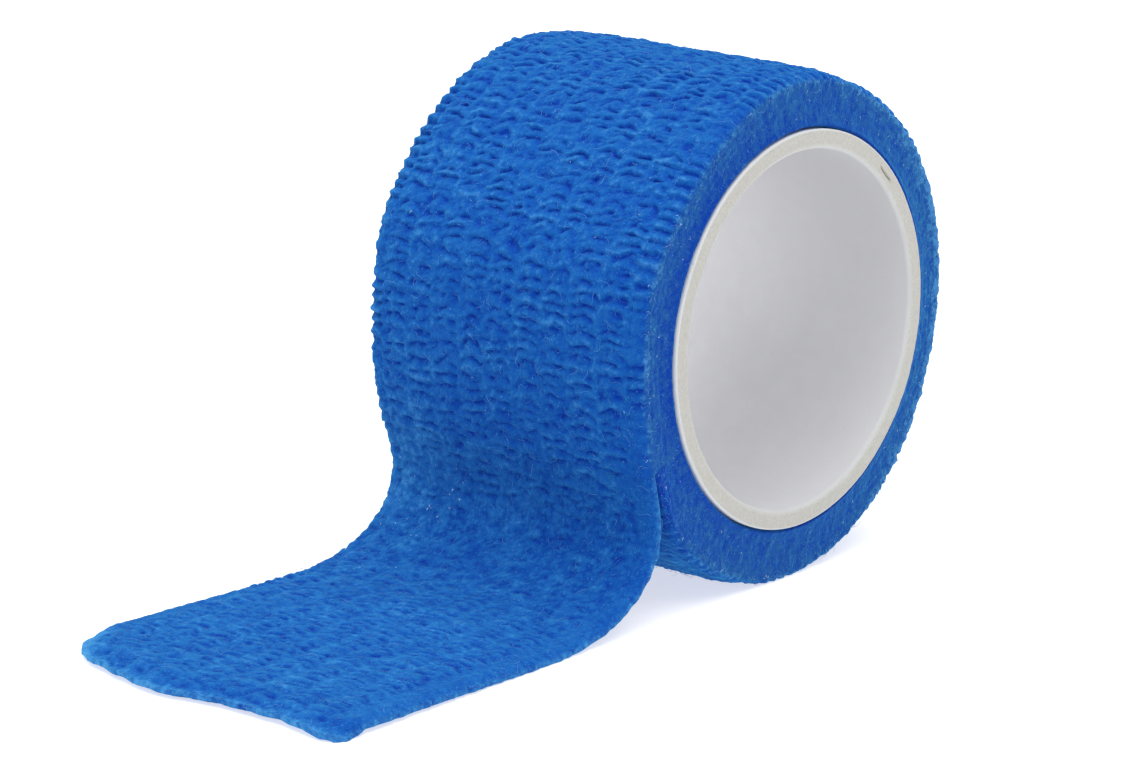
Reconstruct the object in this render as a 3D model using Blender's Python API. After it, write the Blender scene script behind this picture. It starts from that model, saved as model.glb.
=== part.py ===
"""A cohesive bandage roll: crepe tape wound on a paperboard core, with its end pulled free.

X runs along the loose end, which points to -X. Y runs across the tape, and Z is up.
The origin is under the core's axis, at mid width, on the surface that the roll rests on.
"""

import math

import bmesh
import bpy
import numpy as np

MM = 0.001

# The tape
TAPE_WIDTH = 25.0 * MM
TAPE_THICKNESS = 1.0 * MM
COLUMNS = 11
COLUMN_HEIGHT = 0.22 * MM
SHOULDER_DROP = 0.45 * MM
SHOULDER_POWER = 8

# The core: a tube, squeezed a little out of round
AXIS_HEIGHT = 18.1 * MM
CORE_LENGTH = 25.8 * MM
CORE_RADIUS = 14.3 * MM
CORE_SQUEEZE = 0.1 * MM
CORE_SQUEEZE_ANGLE = math.radians(-28)
CORE_WALL = 1.4 * MM
CORE_RIM_RADIUS = 0.25 * MM
CORE_STEPS = 72

# Fit and resolution
GAP = 0.3 * MM
ROLL_STEPS = 92
SIDE_DISH = 0.15 * MM
FLOOR = 0.0
POINT_MERGE = 0.01 * MM

# The wound body's outline at its two edges, seen from the near side (-Y).
# It starts at the step where the outermost turn leaves, and runs back over the top.
# The step's face slants by a fraction of a degree, so that the outline closes.
# Columns: angle in degrees from +X towards +Z, near radius and far radius in mm.
ROLL_OUTLINE = (
    (205, 17.75, 18.20),
    (192, 17.20, 17.70),
    (176, 17.20, 17.40),
    (158, 17.45, 17.80),
    (142, 17.00, 17.65),
    (126, 17.10, 17.90),
    (108, 17.55, 18.25),
    (88, 17.70, 18.35),
    (64, 17.50, 18.00),
    (37, 17.65, 17.85),
    (12, 17.50, 17.60),
    (-12, 17.35, 17.45),
    (-38, 17.55, 17.60),
    (-64, 17.80, 17.80),
    (-92, 18.00, 18.00),
    (-116, 18.00, 18.00),
    (-134, 18.00, 18.05),
    (-142, 17.50, 17.65),
    (-149, 16.65, 16.85),
    (-155, 16.25, 16.60),
)
STEP_SLANT = 0.4
TABLE_FINENESS = 8

# The loose end's outer surface, from the step down to where it lies flat.
# Columns: x at the near edge, x at the far edge, height, all in mm.
LOOSE_PATH = (
    (-16.35, -16.75, 9.95),
    (-16.08, -16.35, 8.80),
    (-15.82, -15.95, 7.55),
    (-15.75, -15.80, 6.30),
    (-16.05, -16.05, 5.05),
    (-16.75, -16.75, 3.95),
    (-17.90, -17.90, 2.90),
    (-19.45, -19.45, 2.02),
    (-21.50, -21.50, 1.35),
    (-24.20, -24.20, 1.04),
    (-27.50, -27.50, 1.00),
)
PATH_STEPS = 22
FLAT_STEPS = 14

# The hand-cut end, uneven and with its far corner worn round.
# Columns: place across the tape and x of the cut, in mm.
END_CUT = (
    (-12.5, -45.3),
    (-10.4, -46.4),
    (-7.2, -46.0),
    (-4.4, -45.9),
    (-1.1, -47.0),
    (1.7, -47.8),
    (4.7, -47.7),
    (8.2, -47.1),
    (9.9, -46.2),
    (10.9, -44.5),
    (11.9, -42.5),
    (12.5, -40.5),
)
TIP_LIFT = 0.3 * MM
TIP_LIFT_START = 0.7
WAVE_HEIGHT = 0.12 * MM
WAVE_ALONG = 33.0 * MM
WAVE_ACROSS = 25.0 * MM
WAVE_FADE = 6.0 * MM


def clear_scene():
    """Remove whatever the scene holds."""
    for existing in list(bpy.data.objects):
        bpy.data.objects.remove(existing, do_unlink=True)


def plain_material(name, colour, roughness):
    """A Principled material with a base colour and a roughness."""
    material = bpy.data.materials.new(name)
    material.use_nodes = True
    shader = material.node_tree.nodes["Principled BSDF"]
    shader.inputs["Base Color"].default_value = (*colour, 1.0)
    shader.inputs["Roughness"].default_value = roughness
    shader.inputs["Metallic"].default_value = 0.0
    material.diffuse_color = (*colour, 1.0)
    return material


def add_object(name, mesh, material, sharp_angle):
    """Link a mesh as a smooth-shaded object with one material."""
    mesh.materials.append(material)
    mesh.shade_smooth()
    mesh.set_sharp_from_angle(angle=math.radians(sharp_angle))
    part = bpy.data.objects.new(name, mesh)
    bpy.context.scene.collection.objects.link(part)
    return part


def smooth_rows(rows, places):
    """Read a table at fractional row numbers, along a Catmull-Rom curve through its rows."""
    rows = np.asarray(rows, dtype=float)
    padded = np.vstack([2 * rows[0] - rows[1], rows, 2 * rows[-1] - rows[-2]])
    first = np.clip(np.floor(places).astype(int), 0, len(rows) - 2)
    t = (places - first)[:, None]
    before, start, end, after = (padded[first + shift] for shift in range(4))
    return start + 0.5 * t * (
        end - before
        + t * (2 * before - 5 * start + 4 * end - after)
        + t * t * (3 * (start - end) + after - before)
    )


def across_places():
    """Places across the tape: its edges, every groove and every column's crest."""
    return np.linspace(-0.5, 0.5, 2 * COLUMNS + 1) * TAPE_WIDTH


def surface_relief(across):
    """Height of the tape's face over its edges: a crown, with a groove at each elastic thread."""
    crown = SHOULDER_DROP * (1 - np.abs(2 * across / TAPE_WIDTH) ** SHOULDER_POWER)
    columns = COLUMN_HEIGHT * np.sin(np.pi * COLUMNS * (across / TAPE_WIDTH + 0.5)) ** 2
    return crown + columns


def core_radius(angle):
    """Outer radius of the squeezed core in one direction from its axis."""
    return CORE_RADIUS + CORE_SQUEEZE * np.cos(2 * (angle - CORE_SQUEEZE_ANGLE))


def closed_grid_mesh(name, points, capped):
    """Skin rows of points, each row a closed loop. The rows join in a ring, or are capped."""
    row_count, loop_count = points.shape[:2]
    row_pairs = row_count - 1 if capped else row_count
    faces = []
    for row in range(row_pairs):
        here = row * loop_count
        there = (row + 1) % row_count * loop_count
        for place in range(loop_count):
            after = (place + 1) % loop_count
            faces.append((here + place, here + after, there + after, there + place))
    mesh = bpy.data.meshes.new(name)
    if capped:
        last = (row_count - 1) * loop_count
        half = loop_count // 2
        for place in range(half - 1):
            opposite = loop_count - 1 - place
            first_cap = (place, opposite, opposite - 1, place + 1)
            faces.append(first_cap)
            faces.append(tuple(last + corner for corner in reversed(first_cap)))
    mesh.from_pydata(points.reshape(-1, 3).tolist(), [], faces)
    shell = bmesh.new()
    shell.from_mesh(mesh)
    bmesh.ops.recalc_face_normals(shell, faces=shell.faces)
    bmesh.ops.triangulate(shell, faces=shell.faces)
    shell.to_mesh(mesh)
    shell.free()
    return mesh


def build_core(material):
    """The core: a rectangle of board spun about the roll's axis, then squeezed."""
    shell = bmesh.new()
    corners = []
    for radius in (CORE_RADIUS - CORE_WALL, CORE_RADIUS):
        for side in (-0.5, 0.5):
            corners.append(shell.verts.new((radius, side * CORE_LENGTH, 0.0)))
    inner_near, inner_far, outer_near, outer_far = corners
    section = [inner_near, inner_far, outer_far, outer_near]
    edges = [shell.edges.new((section[i], section[(i + 1) % 4])) for i in range(4)]
    bmesh.ops.spin(
        shell,
        geom=section + edges,
        cent=(0.0, 0.0, 0.0),
        axis=(0.0, 1.0, 0.0),
        angle=math.tau,
        steps=CORE_STEPS,
        use_merge=True,
        use_normal_flip=False,
        use_duplicate=False,
    )
    bmesh.ops.remove_doubles(shell, verts=shell.verts, dist=POINT_MERGE)
    for vertex in shell.verts:
        radius = math.hypot(vertex.co.x, vertex.co.z)
        angle = math.atan2(vertex.co.z, vertex.co.x)
        squeezed = radius + core_radius(angle) - CORE_RADIUS
        vertex.co.x = squeezed * math.cos(angle)
        vertex.co.z = squeezed * math.sin(angle)
    bmesh.ops.recalc_face_normals(shell, faces=shell.faces)
    mesh = bpy.data.meshes.new("core_tube")
    shell.to_mesh(mesh)
    shell.free()
    core = add_object("core_tube", mesh, material, 40)
    core.location = (0.0, 0.0, AXIS_HEIGHT)
    rim = core.modifiers.new("rim", "BEVEL")
    rim.width = CORE_RIM_RADIUS
    rim.segments = 2
    rim.limit_method = "ANGLE"
    rim.angle_limit = math.radians(60)
    return core


def roll_outline():
    """Angles round the wound body, with the radii of its near and far edges there."""
    places = np.linspace(0, len(ROLL_OUTLINE) - 1, TABLE_FINENESS * len(ROLL_OUTLINE))
    table = smooth_rows(ROLL_OUTLINE, places)
    degrees = np.linspace(ROLL_OUTLINE[0][0], ROLL_OUTLINE[-1][0] + STEP_SLANT, ROLL_STEPS)
    falling = table[::-1]
    near = np.interp(degrees, falling[:, 0], falling[:, 1]) * MM
    far = np.interp(degrees, falling[:, 0], falling[:, 2]) * MM
    return np.radians(degrees), near, far


def build_wound_roll(material):
    """The wound tape: a ring of sections, whose outline steps down one turn at the loose end."""
    angles, near, far = roll_outline()
    across = across_places()
    share = across / TAPE_WIDTH + 0.5
    outer = near[:, None] * (1 - share) + far[:, None] * share + surface_relief(across)
    bore = core_radius(angles) + GAP
    side_middle = (bore + near) / 2
    far_middle = (bore + far) / 2
    radius = np.column_stack([bore, side_middle, outer, far_middle, bore])
    half = TAPE_WIDTH / 2
    section_y = np.concatenate([[-half, -half + SIDE_DISH], across, [half - SIDE_DISH, half]])
    points = np.empty(radius.shape + (3,))
    points[..., 0] = radius * np.cos(angles)[:, None]
    points[..., 1] = section_y
    points[..., 2] = AXIS_HEIGHT + radius * np.sin(angles)[:, None]
    points[..., 2] = np.maximum(points[..., 2], FLOOR)
    mesh = closed_grid_mesh("wound_roll", points, capped=False)
    return add_object("wound_roll", mesh, material, 50)


def loose_surface(across):
    """Outer surface of the loose end: rows from the step to the cut, one point per place across."""
    places = np.linspace(0, len(LOOSE_PATH) - 1, PATH_STEPS)
    bend = smooth_rows(LOOSE_PATH, places) * MM
    share = across / TAPE_WIDTH + 0.5
    bend_x = bend[:, :1] * (1 - share) + bend[:, 1:2] * share
    bend_z = np.repeat(bend[:, 2:], len(across), axis=1)
    cut = np.asarray(END_CUT) * MM
    end_x = np.interp(across, cut[:, 0], cut[:, 1])
    along = np.linspace(0, 1, FLAT_STEPS + 1)[1:, None]
    start_x = LOOSE_PATH[-1][0] * MM
    flat_x = start_x + along * (end_x - start_x)
    lift = TIP_LIFT * np.clip((along - TIP_LIFT_START) / (1 - TIP_LIFT_START), 0, 1) ** 2
    flat_z = np.full_like(flat_x, LOOSE_PATH[-1][2] * MM) + lift
    return np.vstack([bend_x, flat_x]), np.vstack([bend_z, flat_z])


def build_loose_end(material):
    """The loose end: a sheet that leaves the roll, bends and lies flat to its cut edge."""
    across = across_places()
    top_x, top_z = loose_surface(across)
    run_x = np.gradient(top_x, axis=0)
    run_z = np.gradient(top_z, axis=0)
    length = np.hypot(run_x, run_z)
    outward_x = run_z / length
    outward_z = -run_x / length
    under_x = top_x - TAPE_THICKNESS * outward_x
    under_z = np.maximum(top_z - TAPE_THICKNESS * outward_z, FLOOR)
    relief = surface_relief(across) - SHOULDER_DROP
    wave = np.sin(math.tau * top_x / WAVE_ALONG) * np.cos(math.tau * across / WAVE_ACROSS)
    laid = np.clip((LOOSE_PATH[-1][0] * MM - top_x) / WAVE_FADE, 0, 1)
    raised = relief + WAVE_HEIGHT * laid * wave
    top_x = top_x + raised * outward_x
    top_z = top_z + raised * outward_z
    places = np.broadcast_to(across, top_x.shape)
    top = np.stack([top_x, places, top_z], axis=2)
    under = np.stack([under_x, places, under_z], axis=2)
    points = np.concatenate([top, under[:, ::-1]], axis=1)
    mesh = closed_grid_mesh("loose_end", points, capped=True)
    return add_object("loose_end", mesh, material, 50)


def main():
    clear_scene()
    tape_blue = plain_material("crepe_tape_blue", (0.018, 0.112, 0.445), 0.85)
    board_white = plain_material("core_board_white", (0.68, 0.68, 0.66), 0.7)
    build_core(board_white)
    build_wound_roll(tape_blue)
    loose_blue = plain_material("loose_tape_blue", (0.022, 0.135, 0.500), 0.85)
    build_loose_end(loose_blue)


main()
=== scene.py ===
# %% [markdown]
# # A cohesive bandage roll
#
# Cohesive bandage is a narrow, stretchy cloth that sticks to itself. Two thin webs of non-woven
# fibre are bonded together with elastic threads between them. The threads run along the tape,
# and when they pull back, the cloth puckers into small cross-wise waves: the crepe that gives
# the roll its look. This one is wound on a white paperboard core, and its end lies free.
#
# All lengths in this script are in millimetres, and turn into metres where a mesh is made.
# X runs along the loose end, which points to -X. Y runs across the tape, and Z is up.

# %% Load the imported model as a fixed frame
import math

import bpy
import numpy as np
from mathutils import Matrix, Vector


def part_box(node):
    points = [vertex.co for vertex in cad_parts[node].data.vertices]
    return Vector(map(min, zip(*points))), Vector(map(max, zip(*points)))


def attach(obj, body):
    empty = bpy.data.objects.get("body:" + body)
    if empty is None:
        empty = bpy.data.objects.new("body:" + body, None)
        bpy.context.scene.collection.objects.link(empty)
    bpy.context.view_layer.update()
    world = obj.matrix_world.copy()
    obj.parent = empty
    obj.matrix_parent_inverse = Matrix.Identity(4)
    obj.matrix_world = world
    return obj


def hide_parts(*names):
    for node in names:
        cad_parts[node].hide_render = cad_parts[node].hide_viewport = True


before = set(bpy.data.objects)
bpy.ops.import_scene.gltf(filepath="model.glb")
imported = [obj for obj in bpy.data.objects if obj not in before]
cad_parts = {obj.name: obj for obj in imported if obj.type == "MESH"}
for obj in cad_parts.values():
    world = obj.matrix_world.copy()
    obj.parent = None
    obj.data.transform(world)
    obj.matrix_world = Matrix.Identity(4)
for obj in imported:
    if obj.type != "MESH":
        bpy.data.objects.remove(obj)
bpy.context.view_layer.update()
MM = 0.001
print("nodes:", sorted(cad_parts))

# %% [markdown]
# ## The camera
#
# The camera was fitted to the two rims of the roll, its core and the straight edges of the loose
# end. It stands about 21 cm away and looks down by 14 degrees, from the side of the loose end.
# A long lens at that distance keeps the roll's near and far rims almost the same size.

# %% Camera
CAMERA_PLACE = (-159.9, -128.7, 63.9)
CAMERA_AZIMUTH = math.radians(-49.13)
CAMERA_ELEVATION = math.radians(14.24)
CAMERA_ROLL = math.radians(1.01)
CAMERA_LENS = 92.6
CAMERA_NEAREST = 10
LOOKED_AT = (0, 0, 18.1)


def camera_turn(azimuth, elevation, roll):
    """Matrix whose columns point right, up and back, for a camera that looks at the object."""
    back = Vector(
        (
            math.sin(azimuth) * math.cos(elevation),
            -math.cos(azimuth) * math.cos(elevation),
            math.sin(elevation),
        )
    )
    level = Vector((math.cos(azimuth), math.sin(azimuth), 0.0))
    upright = back.cross(level)
    right = level * math.cos(roll) + upright * math.sin(roll)
    up = upright * math.cos(roll) - level * math.sin(roll)
    return Matrix((right, up, back)).transposed()


camera_data = bpy.data.cameras.new("camera")
camera_data.sensor_width = 36
camera_data.sensor_fit = "HORIZONTAL"
camera_data.lens = CAMERA_LENS
camera_data.clip_start = CAMERA_NEAREST * MM
camera = bpy.data.objects.new("camera", camera_data)
turn = camera_turn(CAMERA_AZIMUTH, CAMERA_ELEVATION, CAMERA_ROLL)
camera.matrix_world = Matrix.Translation(Vector(CAMERA_PLACE) * MM) @ turn.to_4x4()
bpy.context.scene.collection.objects.link(camera)
bpy.context.scene.camera = camera
print("camera stands", round((Vector(CAMERA_PLACE) - Vector(LOOKED_AT)).length), "mm away")

# %% [markdown]
# ## Helpers for materials
#
# Colours are easiest to read as hex codes from a colour picker. Those are sRGB values, and
# shaders work in linear light, so one function turns them. A second small function adds a node
# with its settings and its links, which keeps each material short enough to read as a recipe.
# The names of the node kinds are kept short for the same reason. A Map Range takes a value, the
# two limits that it is read between and the two that it is spread to, 0 and 1 if not given. A
# Mix node for colours takes its share as input 0 and its two colours as inputs 6 and 7.


# %% Colour and node helpers
NOISE, RANGE, SUM = "ShaderNodeTexNoise", "ShaderNodeMapRange", "ShaderNodeMath"
MIX, BUMP = "ShaderNodeMix", "ShaderNodeBump"
ATTRIBUTE, COORDINATES = "ShaderNodeAttribute", "ShaderNodeTexCoord"
COLOURS = {"output": 2, "data_type": "RGBA", "clamp_factor": True}


def linear(hex_code, alpha=1.0):
    """Linear RGBA of an sRGB hex colour: the sRGB curve undone for each channel."""
    channels = [int(hex_code[i : i + 2], 16) / 255 for i in (1, 3, 5)]
    straight = [c / 12.92 if c <= 0.04045 else ((c + 0.055) / 1.055) ** 2.4 for c in channels]
    return (*straight, alpha)


def new_material(name):
    """An empty node material with its Principled shader, returned as (material, shader)."""
    material = bpy.data.materials.new(name)
    material.use_nodes = True
    return material, material.node_tree.nodes["Principled BSDF"]


def add_node(material, kind, inputs, output=0, **settings):
    """Add a node from its inputs and settings, and return the output socket that is asked for."""
    node = material.node_tree.nodes.new(kind)
    for name, value in settings.items():
        setattr(node, name, value)
    connect(material, node, inputs)
    return node.outputs[output]


def connect(material, node, inputs):
    """Set a node's inputs, each to a plain value or by a link from another node's socket."""
    for name, value in inputs.items():
        if isinstance(value, bpy.types.NodeSocket):
            material.node_tree.links.new(value, node.inputs[name])
        else:
            node.inputs[name].default_value = value


# %% [markdown]
# ## Floor and light
#
# The roll stands on a light table of white acrylic, as used for product pictures: its glow leaves
# only a trace of the shadow under the roll, and lights the roll's front from below. A white sky
# fills the creases. The rest comes from almost straight above, as from a lit ceiling: a sun lamp
# that is 70 degrees wide, so it makes the top of the roll lighter than its front.

# %% Floor
FLOOR_HALF = 1500
floor_mesh = bpy.data.meshes.new("table_top")
floor_corners = [(-1, -1, 0), (1, -1, 0), (1, 1, 0), (-1, 1, 0)]
floor_mesh.from_pydata([Vector(c) * FLOOR_HALF * MM for c in floor_corners], [], [(0, 1, 2, 3)])
floor = bpy.data.objects.new("table_top", floor_mesh)
bpy.context.scene.collection.objects.link(floor)
TABLE_GLOW = 0.62
white_acrylic, acrylic_shader = new_material("white matt acrylic, lit from below")
connect(
    white_acrylic,
    acrylic_shader,
    {
        "Base Color": linear("#cfcfcf"),
        "Roughness": 0.7,
        "Emission Color": linear("#ffffff"),
        "Emission Strength": TABLE_GLOW,
    },
)
floor_mesh.materials.append(white_acrylic)

# %% Sky and ceiling light
SKY_STRENGTH = 0.65
CEILING_STRENGTH = 2.6
CEILING_SPREAD = math.radians(70)
CEILING_DIRECTION = Vector((-0.11, -0.03, 0.99))

sky = bpy.data.worlds.new("studio")
sky.use_nodes = True
sky.node_tree.nodes["Background"].inputs["Color"].default_value = (1.0, 1.0, 1.0, 1.0)
sky.node_tree.nodes["Background"].inputs["Strength"].default_value = SKY_STRENGTH
bpy.context.scene.world = sky
ceiling_data = bpy.data.lights.new("lit ceiling", "SUN")
ceiling_data.energy = CEILING_STRENGTH
ceiling_data.angle = CEILING_SPREAD
ceiling = bpy.data.objects.new("lit ceiling", ceiling_data)
ceiling.rotation_euler = (-CEILING_DIRECTION).to_track_quat("-Z", "Y").to_euler()
bpy.context.scene.collection.objects.link(ceiling)
bpy.context.scene.view_settings.view_transform = "Standard"

# %% [markdown]
# ## Noise
#
# Crepe is made by threads pulling at random, so it needs randomness that is the same on every
# run. Gradient noise gives soft, wandering hills: each whole-number place gets a random slope,
# and the four nearest slopes are blended. Each purpose has a layer of its own, so that patterns
# don't repeat one another.

# %% Gradient noise
LATTICE_SIZE = 128
LAYERS = ("thread", "drift", "wobble", "swell", "dash", "crinkle", "fine", "felt", "turn", "board")
random = np.random.default_rng(4952)
SLOPE = {layer: random.uniform(0, math.tau, (LATTICE_SIZE, LATTICE_SIZE)) for layer in LAYERS}


def noise(layer, first, second):
    """Gradient noise, about -1 to 1: the slopes at four corners, blended by 6t^5-15t^4+10t^3."""
    first, second = np.broadcast_arrays(first, second)
    row, place = np.floor(first).astype(int), np.floor(second).astype(int)
    a, b = first - row, second - place
    row, place = row % LATTICE_SIZE, place % LATTICE_SIZE
    next_row, next_place = (row + 1) % LATTICE_SIZE, (place + 1) % LATTICE_SIZE

    def hill(at_row, at_place, step_a, step_b):
        angle = SLOPE[layer][at_row, at_place]
        return np.cos(angle) * step_a + np.sin(angle) * step_b

    fade_a, fade_b = a**3 * (a * (6 * a - 15) + 10), b**3 * (b * (6 * b - 15) + 10)
    start = hill(row, place, a, b) * (1 - fade_b) + hill(row, next_place, a, b - 1) * fade_b
    end = hill(next_row, place, a - 1, b) * (1 - fade_b)
    end = end + hill(next_row, next_place, a - 1, b - 1) * fade_b
    return 1.5 * (start * (1 - fade_a) + end * fade_a)


def smooth_step(low, high, value):
    """0 below low, 1 above high, and 3t^2 - 2t^3 between them."""
    t = np.clip((value - low) / (high - low), 0, 1)
    return t * t * (3 - 2 * t)


print("noise layers:", len(SLOPE))

# %% [markdown]
# ## The line that the tape follows
#
# The outermost turn and the loose end are one length of tape. Its centre line runs once round
# the roll, one tape's thickness further out at its end than at its start, then leaves the roll
# at the lower left, bends and lies flat. The CAD solid already has the roll's true outline,
# which is a little flattened and not quite round, so its two edges are read from that node.
# The bend is a short table of points, the same as in the CAD source.

# %% Sizes of the tape
TAPE_WIDTH = 25.0
COLUMNS = 11
TURN = 0.55
SHOULDER_DROP = 0.45
SHOULDER_POWER = 8
PEEL_ANGLE = 205.0
SETTLE_ANGLE = -134.0
LOOSE_PATH = (
    (-16.08, -16.35, 8.80),
    (-15.82, -15.95, 7.55),
    (-15.75, -15.80, 6.30),
    (-16.05, -16.05, 5.05),
    (-16.75, -16.75, 3.95),
    (-17.90, -17.90, 2.90),
    (-19.45, -19.45, 2.02),
    (-21.50, -21.50, 1.35),
    (-24.20, -24.20, 1.04),
    (-27.50, -27.50, 1.00),
)
FLAT_END = -54.5
FLAT_STEP = 3.0
WOUND_STEP = 4.0
LINE_FINENESS = 16
TANGENT_REACH = 0.15


# %% Outline of the roll, read from its CAD node
def node_points(name):
    """A CAD node's vertices in millimetres."""
    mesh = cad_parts[name].data
    points = np.empty(len(mesh.vertices) * 3, np.float32)
    mesh.vertices.foreach_get("co", points)
    return points.reshape(-1, 3).astype(float) / MM


core_low, core_high = (np.array(corner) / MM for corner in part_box("core_tube"))
AXIS_HEIGHT = (core_low[2] + core_high[2]) / 2
BORE_LIMIT = 15.5


def edge_outline(side):
    """Angle in degrees and radius of the wound tape's edge on one side (-1 near, 1 far)."""
    points = node_points("wound_roll")
    radius = np.hypot(points[:, 0], points[:, 2] - AXIS_HEIGHT)
    on_edge = (np.abs(points[:, 1] - side * TAPE_WIDTH / 2) < 0.01) & (radius > BORE_LIMIT)
    angle = np.degrees(np.arctan2(points[:, 2] - AXIS_HEIGHT, points[:, 0]))
    angle = np.where(angle < PEEL_ANGLE - 360 + 0.2, angle + 360, angle)
    rounded, first = np.unique(np.round(angle[on_edge], 2), return_index=True)
    return rounded, radius[on_edge][first]


near_angles, near_radii = edge_outline(-1)
far_angles, far_radii = edge_outline(1)
print("axis height", round(AXIS_HEIGHT, 2), "mm; outline points", len(near_angles))


def outline_radius(angle, angles, radii):
    """Radius of an edge at an angle. Past the loose end it starts one turn lower, and settles."""
    radius = np.interp(angle, angles, radii)
    under_peel = radii[-1] - TURN
    settled = np.interp(SETTLE_ANGLE, angles, radii)
    share = smooth_step(PEEL_ANGLE - 360, SETTLE_ANGLE, angle)
    return np.where(angle < SETTLE_ANGLE, under_peel + (settled - under_peel) * share, radius)


# %% The whole line, from the start of the outermost turn to past the cut
def smooth_rows(rows, places):
    """Read a table at fractional row numbers, along a Catmull-Rom curve through its rows."""
    padded = np.vstack([2 * rows[0] - rows[1], rows, 2 * rows[-1] - rows[-2]])
    first = np.clip(np.floor(places).astype(int), 0, len(rows) - 2)
    t = (places - first)[:, None]
    before, start, end, after = (padded[first + shift] for shift in range(4))
    bend = 2 * before - 5 * start + 4 * end - after
    return start + 0.5 * t * (end - before + t * (bend + t * (3 * (start - end) + after - before)))


def tape_line():
    """Rows of length along the tape, then x and z of its near and far edges, at crown height."""
    degrees = np.arange(PEEL_ANGLE - 360, PEEL_ANGLE + 0.01, WOUND_STEP)
    degrees = np.append(degrees[degrees < PEEL_ANGLE - WOUND_STEP / 2], PEEL_ANGLE)
    around = np.radians(degrees)
    near = outline_radius(degrees, near_angles, near_radii) + SHOULDER_DROP
    far = outline_radius(degrees, far_angles, far_radii) + SHOULDER_DROP
    cos, sin = np.cos(around), np.sin(around)
    wound = [near * cos, AXIS_HEIGHT + near * sin, far * cos, AXIS_HEIGHT + far * sin]
    wound = np.column_stack(wound)
    bend = np.array([(near_x, height, far_x, height) for near_x, far_x, height in LOOSE_PATH])
    flat_x = np.arange(LOOSE_PATH[-1][0] - FLAT_STEP, FLAT_END, -FLAT_STEP)
    flat_z = np.full_like(flat_x, LOOSE_PATH[-1][2])
    flat = np.column_stack([flat_x, flat_z, flat_x, flat_z])
    rows = np.vstack([wound, bend, flat])
    line = smooth_rows(rows, np.linspace(0, len(rows) - 1, LINE_FINENESS * (len(rows) - 1) + 1))
    middle = (line[:, :2] + line[:, 2:]) / 2
    steps = np.hypot(*np.diff(middle, axis=0).T)
    length = np.concatenate([[0], np.cumsum(steps)])
    peel = length[LINE_FINENESS * (len(wound) - 1)]
    flat_start = length[LINE_FINENESS * (len(wound) + len(bend) - 1)]
    return np.column_stack([length, line]), peel, flat_start


LINE, PEEL, FLAT_START = tape_line()
print("one turn is", round(PEEL, 1), "mm long, and the bend", round(FLAT_START - PEEL, 1), "mm")


# %% A place on the line
def on_line(length, across):
    """Point (x, z), outward normal and forward tangent of the tape's surface at crown height."""
    share = across / TAPE_WIDTH + 0.5

    def place(at):
        return [
            np.interp(at, LINE[:, 0], LINE[:, 1 + axis]) * (1 - share)
            + np.interp(at, LINE[:, 0], LINE[:, 3 + axis]) * share
            for axis in (0, 1)
        ]

    ahead, behind = place(length + TANGENT_REACH), place(length - TANGENT_REACH)
    run_x, run_z = ahead[0] - behind[0], ahead[1] - behind[1]
    size = np.hypot(run_x, run_z)
    return place(length), (run_z / size, -run_x / size), (run_x / size, run_z / size)


# %% [markdown]
# ## The crepe
#
# Eleven columns of puckers run along the tape, one between each pair of elastic threads. Within
# a column the cloth stands in low ridges about a millimetre apart, with short soft creases
# between them, and each ridge is a little arc, further along in the middle of its column. No two
# columns are in step, and the threads show as faint raised lines that stop the creases. The
# outermost columns are narrower: there the cut edge gathers in short, more even rungs, which
# stand taller at the far edge, where nothing holds them down.
#
# The place along the tape is first pushed about by noise, so the ridges wander and join. Each
# ridge and each crease is a bell curve of the place within one wave, and another noise decides
# how deep a crease is cut. Neighbouring columns are blended where they meet. Where the tape is
# pulled off the roll and bends, the ridges are stretched flatter, and only the small crinkles
# of the fibre mat stay as they were.

# %% Sizes of the crepe
RIM_COLUMN = 1.4
PUCKER_PITCH = 0.94
PUCKER_ARC = 0.32
COLUMN_DRIFT = 0.8
COLUMN_WOBBLE = 0.32
RUNG_PITCH = 0.93
RIDGE_WIDTH = 0.23
CREASE_WIDTH = 0.5
THREAD_WIDTH = 0.08
COLUMN_HEIGHT = 0.1
FAR_RIM_LIFT = 0.6
NEAR_RIM_LIFT = 0.15
RIDGE_HEIGHT, CREASE_DEPTH = 0.32, 0.54
RUNG_RIDGE, RUNG_CREASE = 0.6, 0.7
THREAD_HEIGHT = 0.22
CRINKLE_DEPTH = 0.24
FLATTER_SHARE, FLATTER_LENGTH = 0.7, 8
BEND_FLATTER, END_FLATTER = 0.36, 0.32
DRIFT_LENGTH, PATCH_LENGTH = 3.1, 5.0
DASH_LENGTH, DASH_WIDTH = 0.7, 0.85
MAT_NOISE = (
    ("swell", 0, 0.2, 0.95, 1.1),
    ("fine", 0, 0.15, 0.36, 0.42),
    ("fine", 40, 0.06, 0.21, 0.26),
)
WAVES_KEPT = 64
WAVE_HEIGHT = random.uniform(0.2, 1.0, (WAVES_KEPT, COLUMNS))
COLUMN_START = random.uniform(0, 40, COLUMNS)


def thread_place(across):
    """Place across the tape counted in columns: 0 and 11 at the edges, whole at each thread."""
    inner = np.linspace(RIM_COLUMN - TAPE_WIDTH / 2, TAPE_WIDTH / 2 - RIM_COLUMN, COLUMNS - 1)
    edges = np.concatenate([[-TAPE_WIDTH / 2], inner, [TAPE_WIDTH / 2]])
    return np.interp(across, edges, np.arange(COLUMNS + 1))


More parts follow.
